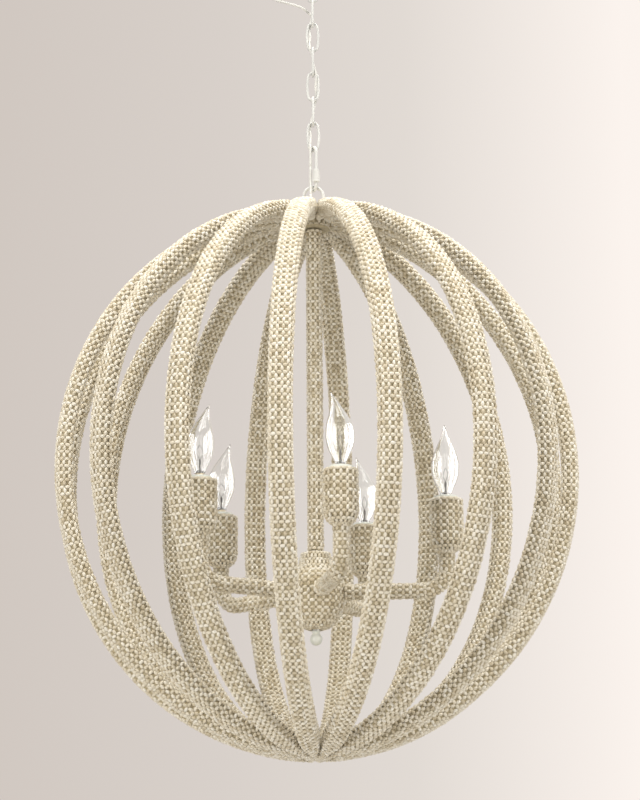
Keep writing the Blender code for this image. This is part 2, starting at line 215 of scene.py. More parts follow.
def ramp(tree, factor, stops):
    node = tree.add("ShaderNodeValToRGB", {"Fac": factor})
    elements = node.color_ramp.elements
    while len(elements) < len(stops):
        elements.new(0.5)
    for element, (position, colour) in zip(elements, stops):
        element.position = position
        element.color = (*colour, 1.0)
    return node.outputs["Color"]


def noise(tree, place, scale, detail=3.0):
    return tree.add("ShaderNodeTexNoise", {"Vector": place, "Scale": scale, "Detail": detail}
                    ).outputs["Fac"]


def spread(tree, value, low, high):
    node = tree.add("ShaderNodeMapRange", {"Value": value, "To Min": low, "To Max": high})
    return node.outputs["Result"]


def bump(tree, shader, height, distance, strength=1.0):
    node = tree.add("ShaderNodeBump", {"Height": height, "Distance": distance,
                                       "Strength": strength})
    tree.link(node.outputs["Normal"], shader.inputs["Normal"])


def bead_finish():
    """Bleached coconut-shell beads: each its own tone, with a fine dry grain."""
    material, tree, shader, place = new_finish("coco_beads")
    tone = tree.add("ShaderNodeAttribute", attribute_name="tone").outputs["Fac"]
    colour = ramp(tree, tone, [(0.0, (0.60, 0.53, 0.395)), (0.30, (0.75, 0.695, 0.57)),
                               (0.75, (0.83, 0.785, 0.68)), (1.0, (0.89, 0.865, 0.79))])
    grain = noise(tree, place, 700.0, 4.0)
    grained = tree.add("ShaderNodeMix", {"Factor": spread(tree, grain, 0.0, 0.45)},
                       data_type="RGBA", blend_type="MULTIPLY")
    tree.link(colour, grained.inputs["A"])
    grained.inputs["B"].default_value = (0.80, 0.70, 0.52, 1.0)
    tree.link(grained.outputs["Result"], shader.inputs["Base Color"])
    tree.link(spread(tree, grain, 0.38, 0.68), shader.inputs["Roughness"])
    bump(tree, shader, grain, 0.00015)
    return material


def core_finish():
    """The frame tape and twisted threads seen between the beads."""
    material, tree, shader, place = new_finish("net_threads")
    fibres = noise(tree, place, 420.0, 5.0)
    colour = ramp(tree, fibres, [(0.30, (0.35, 0.295, 0.185)), (0.70, (0.53, 0.46, 0.315))])
    tree.link(colour, shader.inputs["Base Color"])
    shader.inputs["Roughness"].default_value = 0.85
    bump(tree, shader, fibres, 0.0004)
    return material


def painted_finish(name, dark, light, low, high):
    """Sprayed paint: a faint orange peel and slightly uneven gloss."""
    material, tree, shader, place = new_finish(name)
    cloud = noise(tree, place, 60.0)
    tree.link(ramp(tree, cloud, [(0.30, dark), (0.70, light)]), shader.inputs["Base Color"])
    tree.link(spread(tree, cloud, low, high), shader.inputs["Roughness"])
    shader.inputs["Coat Weight"].default_value = 0.25
    shader.inputs["Coat Roughness"].default_value = 0.20
    bump(tree, shader, noise(tree, place, 900.0, 2.0), 0.00006)
    return material


def metal_finish(name, dark, light, stretch):
    """Drawn metal with fine streaks that run along one direction."""
    material, tree, shader, place = new_finish(name)
    drawn = tree.add("ShaderNodeMapping", {"Vector": place, "Scale": stretch}).outputs["Vector"]
    streak = noise(tree, drawn, 300.0, 4.0)
    tree.link(ramp(tree, streak, [(0.25, dark), (0.75, light)]), shader.inputs["Base Color"])
    tree.link(spread(tree, streak, 0.24, 0.42), shader.inputs["Roughness"])
    shader.inputs["Metallic"].default_value = 1.0
    bump(tree, shader, streak, 0.00004)
    return material


def glass_finish():
    material, tree, shader, place = new_finish("bulb_glass")
    ripple = noise(tree, place, 40.0, 2.0)
    tree.link(ramp(tree, ripple, [(0.0, (0.96, 0.98, 0.97)), (1.0, (1.0, 1.0, 1.0))]),
              shader.inputs["Base Color"])
    tree.link(spread(tree, ripple, 0.0, 0.02), shader.inputs["Roughness"])
    shader.inputs["Transmission Weight"].default_value = 1.0
    shader.inputs["IOR"].default_value = 1.50
    return material


def cord_finish():
    """Smooth round cable jacket with a slight skin."""
    material, tree, shader, place = new_finish("cord_jacket")
    skin = noise(tree, place, 240.0, 3.0)
    tree.link(ramp(tree, skin, [(0.3, (0.66, 0.65, 0.61)), (0.7, (0.74, 0.73, 0.69))]),
              shader.inputs["Base Color"])
    tree.link(spread(tree, skin, 0.38, 0.55), shader.inputs["Roughness"])
    bump(tree, shader, skin, 0.00008)
    return material


BEADS = bead_finish()
THREADS = core_finish()
WHITE = painted_finish("white_paint", (0.62, 0.62, 0.595), (0.70, 0.70, 0.67), 0.30, 0.45)
PORCELAIN = painted_finish("socket_porcelain", (0.74, 0.77, 0.72), (0.82, 0.84, 0.79), 0.25, 0.40)
STEEL = metal_finish("drawn_steel", (0.52, 0.52, 0.51), (0.68, 0.68, 0.67), (1.0, 14.0, 14.0))
BRASS = metal_finish("screw_base_metal", (0.62, 0.55, 0.40), (0.78, 0.72, 0.58), (8.0, 8.0, 1.0))
TUNGSTEN = metal_finish("lamp_wire", (0.14, 0.135, 0.13), (0.30, 0.29, 0.28), (2.0, 2.0, 9.0))
GLASS = glass_finish()
CORD = cord_finish()


# ==== camera, room and lights =========================================================
def make_camera():
    data = bpy.data.cameras.new("camera")
    data.sensor_width = 36.0
    data.lens = CAMERA_LENS
    data.shift_x, data.shift_y = CAMERA_SHIFT
    data.clip_end = 40.0
    camera = bpy.data.objects.new("camera", data)
    turn = Matrix.Rotation(CAMERA_TILT, 4, "X") @ Matrix.Rotation(CAMERA_ROLL, 4, "Z")
    camera.matrix_world = Matrix.Translation(CAMERA_PLACE) @ turn
    bpy.context.collection.objects.link(camera)
    bpy.context.scene.camera = camera


def painted_glow_wall():
    """A glowing studio wall, not a lamp: its emission is painted light, with a painted falloff
    from darker on one side to lighter on the other.
    """
    material = bpy.data.materials.new("wall_with_painted_glow")
    material.use_nodes = True
    tree = Nodes(material.node_tree)
    material.node_tree.nodes.clear()
    place = tree.add("ShaderNodeTexCoord").outputs["Object"]
    across = tree.add("ShaderNodeSeparateXYZ", {"Vector": place}).outputs["X"]
    share = tree.add("ShaderNodeMapRange", {"Value": across, "From Min": -WALL_PAINTED_FALLOFF,
                                            "From Max": WALL_PAINTED_FALLOFF}).outputs["Result"]
    # painted light: the wall's glow steps up from the darker side to the lighter side, standing in
    # for how the studio light falls across it
    colour = ramp(tree, share, [(0.0, (0.636, 0.577, 0.533)), (0.35, (0.685, 0.630, 0.589)),
                                (0.65, (0.755, 0.703, 0.658)), (1.0, (0.968, 0.900, 0.852))])
    glow = tree.add("ShaderNodeEmission", {"Color": colour, "Strength": 1.0})
    out = tree.add("ShaderNodeOutputMaterial")
    tree.link(glow.outputs["Emission"], out.inputs["Surface"])
    return material


def floor_finish():
    material, tree, shader, place = new_finish("studio_floor")
    tree.link(ramp(tree, noise(tree, place, 3.0), [(0.3, (0.74, 0.72, 0.69)),
                                                   (0.7, (0.78, 0.76, 0.73))]),
              shader.inputs["Base Color"])
    shader.inputs["Roughness"].default_value = 0.7
    return material


def make_room():
    steps = 96
    circle = [(math.cos(math.tau * i / steps), math.sin(math.tau * i / steps))
              for i in range(steps)]
    floor_mesh = bpy.data.meshes.new("floor")
    floor_mesh.from_pydata([(x * FLOOR_RADIUS, y * FLOOR_RADIUS, FLOOR_Z) for x, y in circle],
                           [], [tuple(range(steps))])
    floor_mesh.materials.append(floor_finish())
    floor = bpy.data.objects.new("floor", floor_mesh)
    wall_mesh = bpy.data.meshes.new("wall")
    wall_mesh.from_pydata([(x * WALL_RADIUS, y * WALL_RADIUS, z)
                           for z in (-WALL_HALF_HEIGHT, WALL_HALF_HEIGHT) for x, y in circle], [],
                          [(i, (i + 1) % steps, steps + (i + 1) % steps, steps + i)
                           for i in range(steps)])
    wall_mesh.materials.append(painted_glow_wall())
    wall = bpy.data.objects.new("wall", wall_mesh)
    # the floor only bounces light up, so that the orb can be seen from below
    floor.visible_camera = False
    floor.visible_transmission = False
    wall.visible_diffuse = False
    wall.visible_shadow = False
    for thing in (floor, wall):
        bpy.context.collection.objects.link(thing)
    world = bpy.data.worlds.new("studio")
    world.use_nodes = True
    sky = world.node_tree.nodes["Background"]
    sky.inputs["Color"].default_value = (0.93, 0.93, 0.95, 1.0)
    sky.inputs["Strength"].default_value = 0.44
    bpy.context.scene.world = world
    bpy.context.scene.view_settings.view_transform = "Standard"


def soft_light(name, place, aim, size, power, colour):
    data = bpy.data.lights.new(name, "AREA")
    data.shape = "RECTANGLE"
    data.size, data.size_y = size
    data.energy = power
    data.color = colour
    lamp = bpy.data.objects.new(name, data)
    lamp.location = place
    lamp.rotation_euler = (Vector(aim) - Vector(place)).to_track_quat("-Z", "Y").to_euler()
    lamp.visible_camera = False
    bpy.context.collection.objects.link(lamp)
    return lamp


def make_lights():
    centre = (0.0, 0.0, ORB_Z)
    warm = (1.0, 0.965, 0.90)
    soft_light("overhead", (0.15, -0.35, 1.70), centre, (2.6, 2.6), 112.0,
               (1.0, 0.975, 0.93))
    soft_light("left_box", (-2.2, -2.2, -0.7), centre, (0.8, 1.8), 44.0, warm)
    soft_light("right_box", (2.4, -1.7, -0.6), centre, (0.8, 1.8), 30.0, warm)
    # large white panels that only the bulb glass mirrors
    white = (1.0, 1.0, 1.0)
    for name, place, size, power in (
            ("glass_panel_left", (-1.7, -0.3, ORB_Z), (4.4, 2.8), 420.0),
            ("glass_panel_right", (1.7, -0.3, ORB_Z), (4.4, 2.8), 420.0),
            ("glass_panel_front", (0.0, -2.4, ORB_Z + 0.2), (4.0, 3.0), 90.0)):
        panel = soft_light(name, place, centre, size, power, white)
        panel.visible_transmission = False
        panel.light_linking.receiver_collection = BULB_PIECES


BULB_PIECES = bpy.data.collections.new("bulb_pieces")
make_camera()
make_room()
make_lights()


# ==== mesh helpers ====================================================================
def add_piece(name, points, faces, material, smooth=True):
    """A closed mesh at the origin, with its faces turned outwards."""
    mesh = bpy.data.meshes.new(name)
    mesh.from_pydata([tuple(p) for p in points], [], faces)
    shape = bmesh.new()
    shape.from_mesh(mesh)
    bmesh.ops.recalc_face_normals(shape, faces=shape.faces)
    if shape.calc_volume(signed=True) < 0:
        bmesh.ops.reverse_faces(shape, faces=shape.faces)
    shape.to_mesh(mesh)
    shape.free()
    for face in mesh.polygons:
        face.use_smooth = smooth
    mesh.materials.append(material)
    piece = bpy.data.objects.new(name, mesh)
    bpy.context.collection.objects.link(piece)
    return piece


def skin(rings, closed=False):
    """Points and faces over a row of equal rings, with capped ends unless it closes."""
    count = len(rings[0])
    points = [p for ring in rings for p in ring]
    faces = []
    for i in range(len(rings) if closed else len(rings) - 1):
        a, b = i * count, ((i + 1) % len(rings)) * count
        for j in range(count):
            k = (j + 1) % count
            faces.append((a + j, a + k, b + k, b + j))
    if not closed:
        faces.append(tuple(range(count)))
        faces.append(tuple(range(len(points) - count, len(points))))
    return points, faces


def turned(profile, steps, centre=(0.0, 0.0)):
    """Points and faces of a closed (radius, height) outline turned about the vertical."""
    points, rings, faces = [], [], []
    for radius, height in profile:
        if radius < 1e-6:
            rings.append([len(points)])
            points.append((centre[0], centre[1], height))
            continue
        rings.append(list(range(len(points), len(points) + steps)))
        points += [(centre[0] + radius * math.cos(math.tau * j / steps),
                    centre[1] + radius * math.sin(math.tau * j / steps), height)
                   for j in range(steps)]
    for ring, after in zip(rings, rings[1:] + rings[:1]):
        if len(ring) == 1 and len(after) == 1:
            continue
        for j in range(steps):
            k = (j + 1) % steps
            if len(ring) == 1:
                faces.append((ring[0], after[j], after[k]))
            elif len(after) == 1:
                faces.append((ring[j], ring[k], after[0]))
            else:
                faces.append((ring[j], ring[k], after[k], after[j]))
    return points, faces


def lifted(profile, lift=0.0):
    """An outline given from the orb's centre, in the row frame."""
    return [(radius, height + ORB_Z + lift) for radius, height in profile]


def swept_rings(path, radius, sides, closed=False):
    """Round sections along a path, carried from point to point without twist."""
    count = len(path)
    tangents = []
    for i in range(count):
        before = path[i - 1] if closed or i else path[i]
        after = path[(i + 1) % count] if closed or i < count - 1 else path[i]
        tangents.append((after - before).normalized())
    start = Vector((0, 1, 0)) if abs(tangents[0].y) < 0.9 else Vector((1, 0, 0))
    side = (start - tangents[0] * start.dot(tangents[0])).normalized()
    rings = []
    for point, along in zip(path, tangents):
        side = (side - along * side.dot(along)).normalized()
        other = along.cross(side)
        rings.append([point + (side * math.cos(math.tau * j / sides)
                               + other * math.sin(math.tau * j / sides)) * radius
                      for j in range(sides)])
    return rings


def even_steps(path, pitch):
    """The path resampled at equal steps as near as can be to the pitch, ends kept."""
    lengths = [0.0]
    for a, b in zip(path, path[1:]):
        lengths.append(lengths[-1] + (b - a).length)
    count = max(1, round(lengths[-1] / pitch))
    out, i = [], 0
    for n in range(count + 1):
        target = lengths[-1] * n / count
        while i < len(path) - 2 and lengths[i + 1] < target:
            i += 1
        gap = lengths[i + 1] - lengths[i]
        out.append(path[i].lerp(path[i + 1], (target - lengths[i]) / gap if gap else 0.0))
    return out


def smoothed(path, parts):
    """A curve through every point of the path, with each span cut in parts."""
    out = []
    for i in range(len(path) - 1):
        a, b = path[max(i - 1, 0)], path[i]
        c, d = path[i + 1], path[min(i + 2, len(path) - 1)]
        for n in range(parts):
            t = n / parts
            out.append(0.5 * ((2 * b) + (c - a) * t + (2 * a - 5 * b + 4 * c - d) * t * t
                              + (3 * b - a - 3 * c + d) * t * t * t))
    return out + [path[-1]]


def finish_piece(piece, body, slot, *nodes):
    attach(piece, body)
    if nodes:
        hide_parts(*nodes)
    return piece


# ==== bead netting ====================================================================
def bead_net_tree():
    """Strings one bead on every edge of a guide grid: across beads and row beads."""
    group = bpy.data.node_groups.new("bead_netting", "GeometryNodeTree")
    sockets = {}

    def ask(label, kind, value=None):
        socket = group.interface.new_socket(label, in_out="INPUT", socket_type=kind)
        if value is not None:
            socket.default_value = value
        sockets[label] = socket.identifier

    ask("Guide", "NodeSocketGeometry")
    ask("Across Bead Length", "NodeSocketFloat", ACROSS_BEAD_LENGTH)
    ask("Across Bead Girth", "NodeSocketFloat", ACROSS_BEAD_GIRTH)
    ask("Row Bead Length", "NodeSocketFloat", ROW_BEAD_LENGTH)
    ask("Row Bead Girth", "NodeSocketFloat", ROW_BEAD_GIRTH)
    ask("Bead End", "NodeSocketFloat", BEAD_END)
    ask("Wander", "NodeSocketFloat", BEAD_WANDER)
    ask("Seed", "NodeSocketInt", 0)
    group.interface.new_socket("Beads", in_out="OUTPUT", socket_type="NodeSocketGeometry")
    tree = Nodes(group)
    given = tree.add("NodeGroupInput").outputs

    # one bead, a unit high and wide, drawn in towards its ends
    barrel = tree.add("GeometryNodeMeshCylinder", {"Vertices": 6, "Side Segments": 2,
                                                   "Radius": 0.5, "Depth": 1.0},
                      fill_type="NGON")
    spot = tree.add("GeometryNodeInputPosition").outputs[0]
    axes = tree.add("ShaderNodeSeparateXYZ", {"Vector": spot}).outputs
    ends = tree.maths("MULTIPLY", tree.maths("ABSOLUTE", axes["Z"]), 2.0)
    narrow = tree.maths("MULTIPLY", ends, tree.maths("SUBTRACT", 1.0, given["Bead End"]))
    keep = tree.maths("SUBTRACT", 1.0, narrow)
    shaped = tree.add("ShaderNodeCombineXYZ", {"X": tree.maths("MULTIPLY", axes["X"], keep),
                                               "Y": tree.maths("MULTIPLY", axes["Y"], keep),
                                               "Z": axes["Z"]})
    bead = tree.add("GeometryNodeSetPosition", {"Geometry": barrel.outputs["Mesh"],
                                                "Position": shaped.outputs[0]})

    # one point in the middle of every edge of the guide, knowing its edge and its surface
    edge = tree.add("GeometryNodeInputMeshEdgeVertices").outputs
    run = tree.add("ShaderNodeVectorMath", {0: edge["Position 2"], 1: edge["Position 1"]},
                   operation="SUBTRACT").outputs["Vector"]
    seen = tree.add("GeometryNodeCaptureAttribute", domain="EDGE")
    seen.capture_items.new("VECTOR", "Run")
    seen.capture_items.new("VECTOR", "Out")
    tree.link(given["Guide"], seen.inputs["Geometry"])
    tree.link(run, seen.inputs["Run"])
    tree.link(tree.add("GeometryNodeInputNormal").outputs[0], seen.inputs["Out"])
    points = tree.add("GeometryNodeMeshToPoints", {"Mesh": seen.outputs["Geometry"]},
                      mode="EDGES")
    across = tree.add("GeometryNodeInputNamedAttribute", {"Name": "across"},
                      data_type="BOOLEAN").outputs["Attribute"]

    def pick(row_value, across_value):
        node = tree.add("GeometryNodeSwitch", {"Switch": across, "False": row_value,
                                               "True": across_value}, input_type="FLOAT")
        return node.outputs["Output"]

    length = tree.add("ShaderNodeVectorMath", {0: seen.outputs["Run"]},
                      operation="LENGTH").outputs["Value"]
    length = tree.maths("MINIMUM", pick(given["Row Bead Length"], given["Across Bead Length"]),
                        tree.maths("MULTIPLY", length, 0.88))
    girth = pick(given["Row Bead Girth"], given["Across Bead Girth"])

    def chance(low, high, offset, kind="FLOAT"):
        node = tree.add("FunctionNodeRandomValue", data_type=kind)
        group_a = [s for s in node.inputs if s.enabled]
        group_a[0].default_value = low
        group_a[1].default_value = high
        tree.link(tree.maths("ADD", given["Seed"], offset), node.inputs["Seed"])
        return [s for s in node.outputs if s.enabled][0]

    drift = tree.add("ShaderNodeVectorMath",
                     {0: chance((-1, -1, -1), (1, 1, 1), 11.0, "FLOAT_VECTOR"),
                      "Scale": given["Wander"]}, operation="SCALE").outputs["Vector"]
    moved = tree.add("GeometryNodeSetPosition", {"Geometry": points.outputs["Points"],
                                                 "Offset": drift})
    stand = tree.add("FunctionNodeAxesToRotation", primary_axis="Z", secondary_axis="X")
    tree.link(seen.outputs["Run"], stand.inputs[0])
    tree.link(seen.outputs["Out"], stand.inputs[1])
    tilt = tree.add("FunctionNodeEulerToRotation",
                    {0: chance((-0.10, -0.10, -0.5), (0.10, 0.10, 0.5), 23.0, "FLOAT_VECTOR")})
    turn = tree.add("FunctionNodeRotateRotation", rotation_space="LOCAL")
    tree.link(stand.outputs[0], turn.inputs[0])
    tree.link(tilt.outputs[0], turn.inputs[1])
    plump = chance(0.93, 1.05, 37.0)
    girth = tree.maths("MULTIPLY", girth, plump)
    size = tree.add("ShaderNodeCombineXYZ", {"X": girth, "Y": girth, "Z": length})
    strung = tree.add("GeometryNodeInstanceOnPoints",
                      {"Points": moved.outputs["Geometry"],
                       "Instance": bead.outputs["Geometry"],
                       "Rotation": turn.outputs[0], "Scale": size.outputs[0]})
    toned = tree.add("GeometryNodeStoreNamedAttribute",
                     {"Geometry": strung.outputs["Instances"], "Name": "tone"},
                     data_type="FLOAT", domain="INSTANCE")
    tree.link(chance(0.0, 1.0, 53.0), toned.inputs["Value"])
    real = tree.add("GeometryNodeRealizeInstances", {"Geometry": toned.outputs["Geometry"]})
    soft = tree.add("GeometryNodeSetShadeSmooth", {"Geometry": real.outputs["Geometry"]})
    painted = tree.add("GeometryNodeSetMaterial", {"Geometry": soft.outputs["Geometry"],
                                                   "Material": BEADS})
    out = tree.add("NodeGroupOutput")
    tree.link(painted.outputs["Geometry"], out.inputs[0])
    return group, sockets


BEAD_NET, NET_SOCKETS = bead_net_tree()


def net_guide(rows):
    """A tube of quads through the rows; each edge will carry one bead."""
    count = len(rows[0])
    points = [tuple(p) for row in rows for p in row]
    faces = [(i * count + j, i * count + (j + 1) % count,
              (i + 1) * count + (j + 1) % count, (i + 1) * count + j)
             for i in range(len(rows) - 1) for j in range(count)]
    mesh = bpy.data.meshes.new("net_guide")
    mesh.from_pydata(points, [], faces)
    across = mesh.attributes.new("across", "BOOLEAN", "EDGE")
    for number, edge in enumerate(mesh.edges):
        a, b = edge.vertices
        across.data[number].value = a // count == b // count
    guide = bpy.data.objects.new("net_guide", mesh)
    bpy.context.collection.objects.link(guide)
    return guide


def string_beads(name, rows, seed, body="orb"):
    """The bead netting over one tube of rows, as one plain mesh."""
    guide = net_guide(rows)
    net = guide.modifiers.new("netting", "NODES")
    net.node_group = BEAD_NET
    net[NET_SOCKETS["Seed"]] = seed
    graph = bpy.context.evaluated_depsgraph_get()
    mesh = bpy.data.meshes.new_from_object(guide.evaluated_get(graph),
                                           preserve_all_data_layers=True, depsgraph=graph)
    mesh.name = name
    old = mesh.attributes.get("across")
    if old:
        mesh.attributes.remove(old)
    bpy.data.meshes.remove(guide.data)
    beads = bpy.data.objects.new(name, mesh)
    bpy.context.collection.objects.link(beads)
    return finish_piece(beads, body, "coco_bead_wrap")


def add_core(name, rings, node, body="orb"):
    points, faces = skin(rings)
    core = add_piece(name, points, faces, THREADS)
    return finish_piece(core, body, "coco_bead_wrap", node)


# ---- ribs ----------------------------------------------------------------------------
def rib_spine(share):
    """Angle, radius, height and outward direction at a polar angle given as a share of the rib."""
    first = math.asin((RIB_INNER_END / RIB_RING_RADIUS) ** (1 / RIB_POINTEDNESS))
    angle = first + (math.pi - 2 * first) * share
    radius = RIB_RING_RADIUS * math.sin(angle) ** RIB_POINTEDNESS
    height = RIB_HALF_HEIGHT * math.cos(angle)
    slope = (RIB_RING_RADIUS * RIB_POINTEDNESS * math.sin(angle) ** (RIB_POINTEDNESS - 1)
             * math.cos(angle))
    out = Vector((RIB_HALF_HEIGHT * math.sin(angle), slope)).normalized()
    return radius, height, out


def rib_section(share, inset, count):
    """Equally spaced points round one section of the rib, a given depth under its surface."""
    radius, height, out = rib_spine(share)
    wedge = math.tan(math.pi / RIB_COUNT)
    half, deep = RIB_WIDTH / 2 - inset, RIB_THICKNESS / 2 - inset
    cut = max(0.0015, RIB_CHAMFER - 0.586 * inset)
    corners = [(0.0, deep), (cut - half, deep), (-half, deep - cut), (-half, cut - deep),
               (cut - half, -deep), (half - cut, -deep), (half, cut - deep),
               (half, deep - cut), (half - cut, deep), (0.0, deep)]
    outline = []
    for side, depth in corners:
        r = radius + depth * out.x
        limit = max(0.0004, r * wedge - RIB_GAP / 2 - inset)
        outline.append(Vector((max(-limit, min(limit, side)), -r, height + depth * out.y + ORB_Z)))
    lengths = [0.0]
    for a, b in zip(outline, outline[1:]):
        lengths.append(lengths[-1] + (b - a).length)
    points, i = [], 0
    for n in range(count):
        target = lengths[-1] * (n + 0.5) / count
        while lengths[i + 1] < target:
            i += 1
        points.append(outline[i].lerp(outline[i + 1],
                                      (target - lengths[i]) / (lengths[i + 1] - lengths[i])))
    return points


def rib_shares(pitch, trim=0.0):
    """Shares of the rib's angle that lie at equal steps along its middle line."""
    fine = 600
    places = []
    for i in range(fine + 1):
        radius, height, _ = rib_spine(i / fine)
        places.append(Vector((radius, height)))
    lengths = [0.0]
    for a, b in zip(places, places[1:]):
        lengths.append(lengths[-1] + (b - a).length)
    whole = lengths[-1] - 2 * trim
    count = round(whole / pitch)
    shares, i = [], 0
    for n in range(count + 1):
        target = trim + whole * n / count
        while i < fine - 1 and lengths[i + 1] < target:
            i += 1
        shares.append((i + (target - lengths[i]) / (lengths[i + 1] - lengths[i])) / fine)
    return shares


def make_ribs():
    bead_rows = [rib_section(s, BEAD_DEPTH, RIB_BEADS_ROUND)
                 for s in rib_shares(BEAD_PITCH, 0.0022)]
    core_rows = [rib_section(s, CORE_DEPTH, 16) for s in rib_shares(0.016)]
    for k in range(RIB_COUNT):
        turn = Matrix.Rotation(RIB_PHASE + math.tau * k / RIB_COUNT, 4, "Z")
        name = f"rib_{k + 1:02d}"
        add_core(name + "_core", [[turn @ p for p in row] for row in core_rows], name)
        string_beads(name + "_beads", [[turn @ p for p in row] for row in bead_rows],
                     RIB_SEED + k)


# ---- stem, hubs, body, arms and cups -------------------------------------------------
def turned_rows(profile, pitch, count, centre=(0.0, 0.0)):
    """Rows of points round the vertical, at equal steps along an outline."""
    line = even_steps([Vector((r, 0.0, z)) for r, z in profile], pitch)
    rows = []
    for spot in line:
        rows.append([Vector((centre[0] + spot.x * math.cos(math.tau * j / count),
                             centre[1] + spot.x * math.sin(math.tau * j / count), spot.z))
                     for j in range(count)])
    return rows


def inward(profile, depth):
    """An open outline moved towards the axis side by a depth."""
    spots = [Vector((r, z)) for r, z in profile]
    moved = []
    for i, spot in enumerate(spots):
        along = (spots[min(i + 1, len(spots) - 1)] - spots[max(i - 1, 0)]).normalized()
        moved.append(spot + Vector((along.y, -along.x)) * depth)
    return [(max(0.0, p.x), p.y) for p in moved]


def make_stem():
    low, high = STEM_Z
    rows = turned_rows(lifted([(STEM_RADIUS - BEAD_DEPTH, low + 0.0022),
                               (STEM_RADIUS - BEAD_DEPTH, high - 0.0022)]),
                       BEAD_PITCH, STEM_BEADS_ROUND)
    string_beads("stem_beads", rows, 201)
    inner = STEM_RADIUS - CORE_DEPTH
    points, faces = turned(lifted([(PIPE_CLEAR, low), (inner, low), (inner, high),
                                   (PIPE_CLEAR, high)]), 24)
    finish_piece(add_piece("stem_core", points, faces, THREADS), "orb", "coco_bead_wrap", "stem")


def make_hubs():
    low, high = TOP_HUB_Z
    edge = HUB_RADIUS - BEAD_DEPTH
    rows = turned_rows(lifted([(edge, low + 0.0022), (edge, high - 0.0022)]), BEAD_PITCH,
                       HUB_BEADS_ROUND)
    string_beads("top_hub_beads", rows, 211)
    inner = HUB_RADIUS - CORE_DEPTH
    points, faces = turned(lifted([(PIPE_CLEAR, low), (inner, low),
                                   (HUB_RADIUS - 0.0004, low + 0.0004),
                                   (HUB_RADIUS - 0.0004, low + 0.0010), (inner, low + 0.0014),
                                   (inner, high - 0.0020), (inner - 0.001, high - 0.0010),
                                   (PIPE_CLEAR, high - 0.0010)]), 32)
    finish_piece(add_piece("top_hub_core", points, faces, THREADS), "orb", "coco_bead_wrap",
                 "top_hub")
    low, high = BOTTOM_HUB_Z
    rows = turned_rows(lifted([(edge, high - 0.0022), (edge, low + 0.0030),
                               (edge - 0.0060, low + 0.0019), (0.0040, low + 0.0019)]),
                       0.0068, 14)
    string_beads("bottom_hub_beads", rows, 212)
    points, faces = turned(lifted([(0.0, low + 0.0028), (inner, low + 0.0034),
                                   (inner, high), (0.0, high)]), 32)
    finish_piece(add_piece("bottom_hub_core", points, faces, THREADS), "orb", "coco_bead_wrap",
                 "bottom_hub")


def make_body():
    falling = [(r, z) for r, z in BODY_PROFILE]
    bead_line = inward(falling, BEAD_DEPTH)
    string_beads("cluster_beads", turned_rows(lifted(bead_line), 0.0078, BODY_BEADS_ROUND), 221)
    core_line = inward(falling, CORE_DEPTH)
    outline = [(PIPE_CLEAR, core_line[0][1])] + core_line + [(PIPE_CLEAR, core_line[-1][1])]
    points, faces = turned(lifted(outline), 40)
    finish_piece(add_piece("cluster_core", points, faces, THREADS), "orb", "coco_bead_wrap",
                 "cluster_body")


def arm_line(lift):
    """The arm's middle line over the -Y axis, from the body to the foot of its cup."""
    path = [Vector((0, -ARM_START, ARM_Z)), Vector((0, ARM_BEND - ARM_RING_RADIUS, ARM_Z))]
    for i in range(1, 9):
        angle = math.pi / 2 * i / 8
        path.append(Vector((0, ARM_BEND - ARM_RING_RADIUS - ARM_BEND * math.sin(angle),
                            ARM_Z + ARM_BEND * (1 - math.cos(angle)))))
    path.append(Vector((0, -ARM_RING_RADIUS, CUP_RIM_Z - CUP_HEIGHT + lift)))
    return [p + Vector((0, 0, ORB_Z)) for p in path]


def candle_place(number):
    """Where a candle stands, seen from above."""
    angle = ARM_TURNS[number - 1]
    return ARM_RING_RADIUS * math.sin(angle), -ARM_RING_RADIUS * math.cos(angle)


def make_arms():
    floor = CUP_RIM_Z - CUP_HEIGHT
    cup_line = [(0.0060, floor + 0.0012), (0.0110, floor + 0.0006), (0.0165, floor + 0.0042),
                (0.0195, floor + 0.0095), (CUP_RADIUS, floor + 0.0160),
                (CUP_RADIUS, CUP_RIM_Z - 0.0002)]
    net_line = [(r - BEAD_DEPTH * 0.9, z + BEAD_DEPTH * 0.3) for r, z in cup_line[1:-1]]
    net_line += [(CUP_RADIUS - BEAD_DEPTH, CUP_RIM_Z - 0.0024)]
    rim_line = [(CUP_RADIUS - BEAD_DEPTH, CUP_RIM_Z - 0.0022),
                (CUP_RADIUS - 0.0043, CUP_RIM_Z - 0.0020)]
    inner = CUP_RADIUS - CUP_WALL
    core_line = [(0.0, floor + 0.0030), (0.0080, floor + 0.0034), (0.0132, floor + 0.0065),
                 (0.0162, floor + 0.0112), (CUP_RADIUS - CORE_DEPTH, floor + 0.0165),
                 (CUP_RADIUS - CORE_DEPTH, CUP_RIM_Z - 0.0022), (inner, CUP_RIM_Z - 0.0014),
                 (inner, floor + CUP_FLOOR_THICKNESS), (0.0, floor + CUP_FLOOR_THICKNESS)]
    for k in range(ARM_COUNT):
        number = k + 1
        lift = ARM_LIFTS[k]
        turn = Matrix.Rotation(ARM_TURNS[k], 4, "Z")
        line = arm_line(lift)
        bead_path = even_steps(line, BEAD_PITCH)
        core_path = even_steps(line, 0.005)
        place = candle_place(number)
        rings = swept_rings([turn @ p for p in bead_path], ARM_RADIUS - BEAD_DEPTH,
                            ARM_BEADS_ROUND)
        string_beads(f"arm_{number}_beads", rings, ARM_SEED + k)
        add_core(f"arm_{number}_core",
                 swept_rings([turn @ p for p in core_path], ARM_RADIUS - CORE_DEPTH, 16),
                 f"arm_{number}")
        string_beads(f"cup_{number}_beads",
                     turned_rows(lifted(net_line, lift), 0.0077, CUP_BEADS_ROUND, place),
                     CUP_SEED + k)
        string_beads(f"cup_{number}_rim_beads",
                     turned_rows(lifted(rim_line, lift), 0.0030, CUP_BEADS_ROUND, place),
                     CUP_RIM_SEED + k)
        points, faces = turned(lifted(core_line, lift), 32, place)
        finish_piece(add_piece(f"cup_{number}_core", points, faces, THREADS), "orb",
                     "coco_bead_wrap", f"cup_{number}")


